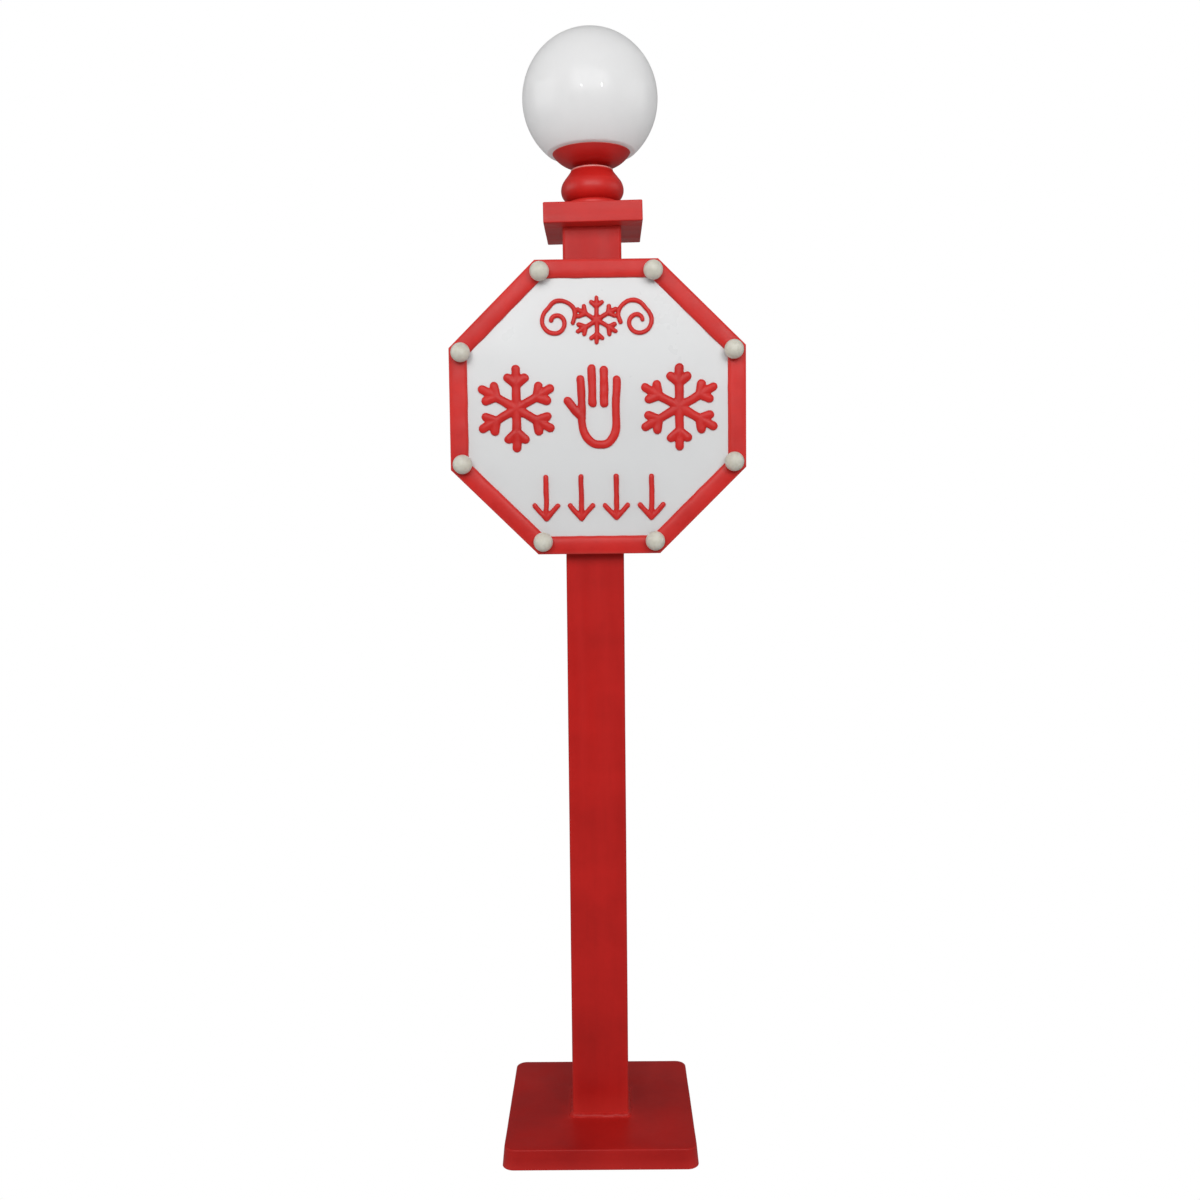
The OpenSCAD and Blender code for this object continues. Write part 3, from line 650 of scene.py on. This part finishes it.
def finial():
    """Plinth ring and squashed ball with its neck, turned about the head's axis."""
    r, soft, edge = 41 * MM, 4 * MM, 0.8 * MM
    top = PLINTH_TOP
    shoulder = top - 2 * MM - soft
    profile = [(PIPE_HOLE, CAP_H), (r - edge, CAP_H), (r, CAP_H + edge), (r, shoulder)]
    profile += arc(r - soft, shoulder, soft, 0, 90, 8)[1:]
    profile += [(r - 6 * MM, top - 1.6 * MM), (r - 8 * MM, top), (PIPE_HOLE, top)]
    finish_mesh(
        "finial_plinth_turned", lathe(profile, 120), HEAD, "stand", ["finial_plinth"], red_round)

    ball, neck = 44.5 * MM, 19 * MM
    waist = top + 0.36 * BALL_H
    low_r = waist - top + 1 * MM
    high_r, slope_deg = 22 * MM, 36
    slope = math.radians(slope_deg)
    start = -math.degrees(math.asin((waist - top) / low_r))
    cone_r = ball - high_r + high_r * math.cos(slope)
    cone_h = waist + high_r * math.sin(slope)
    lip_r = cone_r - (BALL_TOP - cone_h) * math.tan(slope)
    profile = [(PIPE_HOLE, top)]
    profile += arc(ball - low_r, waist, low_r, start, 0, 18)
    profile += arc(ball - high_r, waist, high_r, 0, slope_deg, 16)[1:]
    lip = [(1.5, -2.6), (0.9, -2.1), (1.4, -1.4), (1.2, -0.5), (0, 0)]
    profile += [(lip_r + x * MM, BALL_TOP + h * MM) for x, h in lip]
    profile += [(neck + x * MM, BALL_TOP + h * MM) for x, h in ((3, 0), (0.8, 0.7), (0, 1.6))]
    profile += [(neck + 0.3 * MM, DISH_BOTTOM - 1 * MM), (neck, DISH_BOTTOM), (PIPE_HOLE, DISH_BOTTOM)]
    obj = finish_mesh(
        "finial_ball_turned", lathe(profile, 120), HEAD, "stand", ["finial_ball"], red_round)
    # painted highlight: a light band along the ball's top lip
    paint_highlight(obj, HEAD, BALL_TOP - 2 * MM, BALL_TOP - 0.4 * MM, lip_r)


# The dish is a ring of a bowl: its section is an arc round a point BOWL_RISE over the rim.
BOWL_RISE = 24 * MM
BOWL_R = DISH_H + BOWL_RISE
DISH_R = 55.5 * MM
BOWL_AT = DISH_R - math.sqrt(BOWL_R ** 2 - BOWL_RISE ** 2)
DISH_WALL = 2 * MM
RIM_IN = BOWL_AT + math.sqrt((BOWL_R - DISH_WALL) ** 2 - BOWL_RISE ** 2)

# The globe is a ball cut flat below, with a neck in the dish; its floor is just over the rim.
GLOBE_R, GLOBE_WALL, MOUTH_R = 95.5 * MM, 2.5 * MM, 40 * MM
GLOBE_FLOOR = RIM_H + 0.6 * MM
GLOBE_H = GLOBE_FLOOR + 0.764 * GLOBE_R
MOUTH_H = RIM_H - 5.4 * MM
SHELF_H = MOUTH_H - 1.5 * MM


def globe_dish():
    """Spun dish with a rolled rim, a shelf for the globe's mouth and a pocket for the lamp holder."""
    pocket_r = MOUTH_R - 6 * MM
    centre_h = RIM_H + BOWL_RISE
    rim = math.degrees(math.asin(BOWL_RISE / BOWL_R))
    inner_r = BOWL_R - DISH_WALL
    inner_rim = math.degrees(math.asin(BOWL_RISE / inner_r))
    shelf = math.degrees(math.asin((centre_h - SHELF_H) / inner_r))
    profile = [(PIPE_HOLE, DISH_BOTTOM)]
    profile += arc(BOWL_AT, centre_h, BOWL_R, -90, -rim - 1.2, 26)
    profile += [(DISH_R - 0.25 * MM, RIM_H - 0.1 * MM), (DISH_R - 0.9 * MM, RIM_H)]
    profile += [(RIM_IN + 0.3 * MM, RIM_H - 0.1 * MM)]
    profile += arc(BOWL_AT, centre_h, inner_r, -inner_rim - 1, -shelf, 12)
    profile += [(pocket_r, SHELF_H), (pocket_r, DISH_FLOOR), (PIPE_HOLE, DISH_FLOOR)]
    obj = finish_mesh(
        "globe_dish_spun", lathe(profile, 144), HEAD, "stand", ["globe_dish"], red_round)
    # painted highlight: a light band along the dish's rim
    paint_highlight(obj, HEAD, RIM_H - 0.6 * MM, RIM_H + 1 * MM, RIM_IN)


def globe_line(r, floor, neck, soft):
    """Half a section from the mouth to the top: neck, flat underside, rounded edge and ball."""
    drop = GLOBE_H - floor - soft
    side = math.sqrt((r - soft) ** 2 - drop ** 2)
    turn = -math.degrees(math.asin(drop / (r - soft)))
    line = [(neck, MOUTH_H), (neck, floor)] + arc(side, floor + soft, soft, -90, turn, 8)
    return line + arc(0, GLOBE_H, r, turn, 89, 64)[1:] + [(0, GLOBE_H + r)]


def globe():
    """Opal globe of even wall, open at its neck."""
    outside = globe_line(GLOBE_R, GLOBE_FLOOR, MOUTH_R + GLOBE_WALL, 4 * MM)
    inside = globe_line(GLOBE_R - GLOBE_WALL, GLOBE_FLOOR + GLOBE_WALL, MOUTH_R, 2 * MM)
    profile = list(reversed(inside)) + outside
    finish_mesh("globe_opal", lathe(profile, 144), HEAD, "globe", ["globe"], opal_mat)


def lamp():
    """LED lamp inside the globe: opal dome, cooling collar, threaded cap."""
    r, lamp_h, bore = 27 * MM, 72 * MM, 14 * MM
    nut_h, holder_h = 5 * MM, 48 * MM
    holder_top = DISH_FLOOR + nut_h + holder_h
    centre = holder_top + lamp_h - r
    profile = [(0, holder_top), (bore + 1.2 * MM, holder_top), (bore + 2 * MM, holder_top + 0.8 * MM)]
    profile += [(bore + 2.6 * MM, holder_top + 5 * MM)]
    profile += [(r * 0.86, centre - 0.5 * r), (r * 0.9, centre - 0.46 * r)]
    profile += arc(0, centre, r, -26, 89, 30) + [(0, centre + r)]
    finish_mesh(
        "lamp_bulb_dome", lathe(profile, 96), HEAD, "lamp_bulb", ["lamp_bulb"], lamp_glass)
    pipe_end, holder_floor, cap_gap = 8 * MM, 4 * MM, 4 * MM
    start = holder_top - holder_h + pipe_end + holder_floor + cap_gap
    cap = bore - 0.08 * MM
    groove = 0.8 * MM
    profile = [(0, start), (5 * MM, start), (6 * MM, start + 0.6 * MM), (cap - 2 * MM, start + 2 * MM)]
    count = 7
    pitch = (holder_top - start - 4 * MM) / count
    for k in range(count):
        h = start + 3 * MM + k * pitch
        profile += [(cap - groove, h), (cap, h + pitch * 0.35), (cap, h + pitch * 0.6)]
    profile += [(cap - groove, holder_top - 0.4 * MM), (cap - groove, holder_top), (0, holder_top)]
    finish_mesh("lamp_bulb_screw_cap", lathe(profile, 72), HEAD, "lamp_bulb", ["lamp_bulb_cap"], zinc)


# ---- Sign ----

def plate(rings):
    """Octagonal solid from (inset, depth) pairs, closed by a flat face at each end."""
    bm = bmesh.new()
    made = loft(bm, [octagon_ring(*ring) for ring in rings], closed=False)
    bm.faces.new(made[0])
    bm.faces.new(made[-1])
    return bm


def sign_tray():
    """Folded octagonal tray with soft edges."""
    wall, fold, burr = 1.5 * MM, 1.0 * MM, 0.2 * MM
    inward = SIGN_H / 2 * 0.5
    # each ring is (inset, depth): out over the back, up the side, and in again inside
    rings = [(inward, 0.0), (fold, 0.0), (0.3 * MM, 0.3 * MM), (0, fold), (0, SIGN_DEPTH - burr)]
    rings += [(burr, SIGN_DEPTH), (wall, SIGN_DEPTH), (wall, wall), (inward, wall)]
    finish_mesh("sign_tray_folded", plate(rings), SIGN, "stand", ["sign_tray"], red_sign_lit, 30)


def sign_face():
    """White panel that sits in the tray, flush with its edge."""
    thick, edge, steps = 2 * MM, 1.7 * MM, 16
    insets = [edge + (SIGN_H / 2 - edge) * k / steps for k in range(steps)]
    rings = [(i, SIGN_DEPTH - thick) for i in reversed(insets)] + [(i, SIGN_DEPTH) for i in insets]
    finish_mesh("sign_face_panel", plate(rings), SIGN, "stand", ["sign_face"], face_white, 30)


def sign_border():
    """Raised band with a rounded crown; each side is a strip, a little uneven along its length."""
    width, rise = 25 * MM, 5 * MM
    section = [(0.0, 0.0), (0.0, 0.62), (0.04, 0.82), (0.14, 0.95), (0.32, 1.02), (0.55, 1.04), (0.76, 0.98),
               (0.9, 0.82), (0.97, 0.56), (1.0, 0.25), (1.0, 0.0)]
    bm = bmesh.new()
    rings = [octagon_ring(width * x, SIGN_DEPTH + rise * z, 40) for x, z in section]
    made = loft(bm, rings, closed=True)
    for ring, (x, z) in zip(made, section):
        for v in ring:
            if 0 < z and x > 0.7:
                out = Vector((v.co.x, v.co.y, 0)).normalized()
                v.co += out * noise.noise(v.co * 55 + Vector((1, 2, 3))) * 0.9 * MM
            v.co.z += noise.noise(v.co * 40) * 0.35 * MM * (z > 0.5)
    finish_mesh("sign_border_band", bm, SIGN, "stand", ["sign_border"], red_sign_lit, 50)


def scroll(cx, cz, r, side):
    """A curl that winds inwards, to the right or, with side -1, to the left."""
    sweep, steps = 400, 24
    pts = []
    for t in range(steps + 1):
        a = math.radians(sweep * t / steps - 60)
        q = r * (1 - 0.7 * t / steps)
        pts.append((cx + side * q * math.cos(a), cz - q * math.sin(a)))
    return pts


def eased(points, steps=6):
    """A smooth curve through the points of a stroke."""
    ends = [points[0]] + list(points) + [points[-1]]
    out = []
    for corner in zip(ends, ends[1:], ends[2:], ends[3:]):
        for t in (i / steps for i in range(steps)):
            out.append(tuple(
                0.5 * (2 * q + (r - p) * t + (2 * p - 5 * q + 4 * r - s) * t ** 2
                       + (3 * q - p - 3 * r + s) * t ** 3)
                for p, q, r, s in zip(*corner)))
    return out + [points[-1]]


def flake(cx, cz, r, barb):
    """Six-armed flake: three bars through its middle, and a pair of barbs on every arm."""
    spread = math.radians(50)
    lines = []
    for i in range(3):
        a = math.radians(60 * i + 90)
        x, z = math.cos(a), math.sin(a)
        lines.append([(cx - r * x, cz - r * z), (cx + r * x, cz + r * z)])
    for i in range(6):
        a = math.radians(60 * i + 90)
        kx, kz = cx + 0.6 * r * math.cos(a), cz + 0.6 * r * math.sin(a)
        tips = [(kx + barb * math.cos(a + s), kz + barb * math.sin(a + s)) for s in (spread, -spread)]
        lines.append([tips[0], (kx, kz), tips[1]])
    return lines


def capsule(bm, a, b, r, deep):
    """Flattened round-ended bar between two points of the sign, its middle line just over the face."""
    way = Vector((b[0] - a[0], b[1] - a[1], 0))
    turn = math.atan2(way.y, way.x)
    around, along = 16, 6
    profile = []
    for i in range(along + 1):
        t = math.pi / 2 * i / along
        profile.append((-r * math.cos(t), r * math.sin(t)))
    for i in range(along + 1):
        t = math.pi / 2 * (1 - i / along)
        profile.append((way.length + r * math.cos(t), r * math.sin(t)))
    turns = [2 * math.pi * k / around for k in range(around)]
    rings = [[(x, q * math.cos(t), q * math.sin(t) * deep) for t in turns] for x, q in profile[1:-1]]
    place = Matrix.Translation((*a, 0)) @ Matrix.Rotation(turn, 4, "Z")
    made = loft(bm, [[place @ Vector(p) for p in ring] for ring in rings], closed=False)
    for ring, (x, _) in ((made[0], profile[0]), (made[-1], profile[-1])):
        fan(bm, ring, place @ Vector((x, 0, 0)))


def pictogram(name, groups, node):
    """Strokes melted together by a voxel remesh, softened, and left a little uneven by hand."""
    bm = bmesh.new()
    rise = 4.2 * MM
    centre = 1.1 * MM
    for lines, width in groups:
        r = width / 2 * MM
        deep = (rise - centre) / r
        for line in lines:
            for a, b in zip(line, line[1:]):
                capsule(bm, (a[0] * MM, a[1] * MM), (b[0] * MM, b[1] * MM), r, deep)
    bmesh.ops.recalc_face_normals(bm, faces=bm.faces)
    mesh = bpy.data.meshes.new(name)
    bm.to_mesh(mesh)
    bm.free()
    mesh.transform(Matrix.Translation((0, 0, SIGN_DEPTH + centre)))
    obj = bpy.data.objects.new(name, mesh)
    bpy.context.scene.collection.objects.link(obj)
    mod = obj.modifiers.new("melt", "REMESH")
    mod.mode = "VOXEL"
    mod.voxel_size = 0.9 * MM
    mod.use_smooth_shade = True
    soft = obj.modifiers.new("soften", "SMOOTH")
    soft.factor = 0.5
    soft.iterations = 3
    baked = bpy.data.meshes.new_from_object(obj.evaluated_get(bpy.context.evaluated_depsgraph_get()))
    bpy.data.objects.remove(obj)
    shaped = bmesh.new()
    shaped.from_mesh(baked)
    bpy.data.meshes.remove(baked)
    for v in shaped.verts:
        side = Vector((noise.noise(v.co * 60), noise.noise(v.co * 60 + Vector((9, 4, 2))), 0))
        v.co += side * 0.9 * MM
        v.co.z += noise.noise(v.co * 110) * 0.35 * MM
        v.co.z = max(v.co.z, SIGN_DEPTH + 0.02 * MM)
    finish_mesh(name, shaped, SIGN, "stand", [node], red_sign_lit, 180)


def pictograms():
    """Three plain marks in mm on the face: flake and scrolls above, a hand between flakes, arrows below."""
    scrolls = [scroll(side * 57, 118, 21, side) for side in (-1, 1)]
    tail = [(67.5, 136.2), (61, 143.5), (52, 146.5), (42, 145), (33, 137.5), (30, 128), (33, 117)]
    tails = [eased([(side * x, z) for x, z in tail]) for side in (-1, 1)]
    pictogram("pictogram_upper_raised", [(flake(0, 120, 30, 10) + scrolls + tails, 6.5)], "pictogram_upper")
    palm = [
        eased([(-22, 8), (-22, -22), (-17, -38), (-6, -49), (10, -50), (20, -42), (25, -28), (25, 2)]),
        [(-22, 8), (-24, 40)], [(-7, 6), (-8, 54)], [(9, 6), (9, 52)], [(25, 2), (27, 38)],
        [(-22, -14), (-42, 10)],
    ]
    sides = flake(-113, 0, 54, 15) + flake(113, 0, 54, 15)
    pictogram("pictogram_middle_raised", [(palm, 12), (sides, 13)], "pictogram_middle")
    arrows = []
    for i in range(4):
        x = (i - 1.5) * 49  # spaced evenly about the middle
        arrows += [[(x, -95), (x, -153)], [(x - 16, -135), (x, -153), (x + 16, -135)]]
    pictogram("pictogram_lower_raised", [(arrows, 7.5)], "pictogram_lower")


def corner_bulbs():
    """Eight bulbs: a ball cut flat at the back, on a short stem that goes into its socket."""
    back, stem_back, edge = SIGN_DEPTH + 5.8 * MM, 10 * MM, 0.6 * MM
    r, stem, cut = 13.4 * MM, 5 * MM, 0.62
    centre = back + cut * r
    start = math.degrees(math.asin(-cut))
    profile = [(0, stem_back), (stem - edge, stem_back), (stem, stem_back + edge), (stem, back - 0.2 * MM)]
    profile += [(stem + edge, back + 0.1 * MM), (r * 0.7, back + 0.1 * MM)]
    profile += arc(0, centre, r, start + 3, 88, 30) + [(0, centre + r)]
    for i in range(8):
        bulb = f"corner_bulb_{i + 1}"
        place = SIGN @ Matrix.Translation((*octagon_corner(i, BULB_INSET), 0))
        finish_mesh(bulb + "_ball", lathe(profile, 64), place, bulb, [bulb], frost_mat)


# ---- Studio ----

def area_light(name, at, aim, size, power):
    """Rectangular light aimed at a point, its size in metres and its power in watts."""
    data = bpy.data.lights.new(name, "AREA")
    data.shape = "RECTANGLE"
    data.size, data.size_y = size
    data.energy = power
    obj = bpy.data.objects.new(name, data)
    obj.location = at
    obj.rotation_euler = (Vector(aim) - Vector(at)).to_track_quat("-Z", "Y").to_euler()
    bpy.context.scene.collection.objects.link(obj)


def seen_white(tree, kind, look, end):
    """The camera sees plain white; light and shade on everything else come from the look."""
    seen = tree.nodes.new(kind)
    seen.inputs["Color"].default_value = WHITE
    seen.inputs["Strength"].default_value = 1.0
    path = tree.nodes.new("ShaderNodeLightPath")
    pick = tree.nodes.new("ShaderNodeMixShader")
    tree.links.new(path.outputs["Is Camera Ray"], pick.inputs[0])
    tree.links.new(look, pick.inputs[1])
    tree.links.new(seen.outputs[0], pick.inputs[2])
    tree.links.new(pick.outputs[0], end)


def studio():
    """Plain white floor and room, a wide key light in front, two soft fills and two small windows."""
    scene = bpy.context.scene
    scene.view_settings.view_transform = "Standard"
    scene.view_settings.look = "None"
    world = bpy.data.worlds.new("studio")
    scene.world = world
    world.use_nodes = True
    tree = world.node_tree
    room = tree.nodes["Background"]
    room.inputs["Color"].default_value = WHITE
    room.inputs["Strength"].default_value = 0.22
    seen_white(tree, "ShaderNodeBackground", room.outputs[0], tree.nodes["World Output"].inputs["Surface"])
    bm = bmesh.new()
    bmesh.ops.create_grid(bm, x_segments=1, y_segments=1, size=12)
    mesh = bpy.data.meshes.new("floor")
    bm.to_mesh(mesh)
    bm.free()
    floor = bpy.data.objects.new("floor", mesh)
    scene.collection.objects.link(floor)
    t = Tree("studio_floor", Roughness=0.9, Emission_Color=WHITE, Emission_Strength=0.05)
    t.color(t.ramp(t.noise(2, 2, 0.5), [(0.3, (0.58, 0.58, 0.58)), (0.7, (0.62, 0.62, 0.62))]))
    surface = t.nodes["Material Output"].inputs["Surface"]
    seen_white(t.mat.node_tree, "ShaderNodeEmission", t.shader.outputs[0], surface)
    mesh.materials.append(t.mat)
    area_light("key", (0, -2.6, 2.15), (0, 0, 1.35), (3.0, 1.6), 54)
    for name, x, power in (("left_fill", -2.0, 11), ("right_fill", 2.0, 8)):
        area_light(name, (x, -0.3, 1.7), (0, 0, 1.6), (1.6, 1.2), power)
    for name, x in (("left_window", -0.46), ("right_window", 0.8)):
        area_light(name, (x, -2.15, 1.7), (0, 0, 1.49), (0.16, 0.2), 3.2)


def camera():
    """Stands in front at chest height and looks down a little."""
    sensor = 36
    focal, frame_width = 1194.3, 1200
    at = (0.0148, -1.7342, 0.9115)
    yaw, pitch, roll = 0.005, -0.0728, 0.0098
    data = bpy.data.cameras.new("camera")
    data.sensor_width = sensor
    data.lens = sensor * focal / frame_width
    data.clip_end = 60
    cam = bpy.data.objects.new("camera", data)
    turn = Matrix.Rotation(yaw, 4, "Z") @ Matrix.Rotation(pitch, 4, "X") @ Matrix.Rotation(roll, 4, "Y")
    cam.matrix_world = Matrix.Translation(at) @ turn @ Matrix.Rotation(math.pi / 2, 4, "X")
    bpy.context.scene.collection.objects.link(cam)
    bpy.context.scene.camera = cam


camera()
studio()
carried_nodes()
base_shell()
foot_bead()
rubber_feet()
post_tube()
cord_gland()
cap_block()
finial()
globe_dish()
globe()
lamp()
sign_tray()
sign_face()
sign_border()
pictograms()
corner_bulbs()
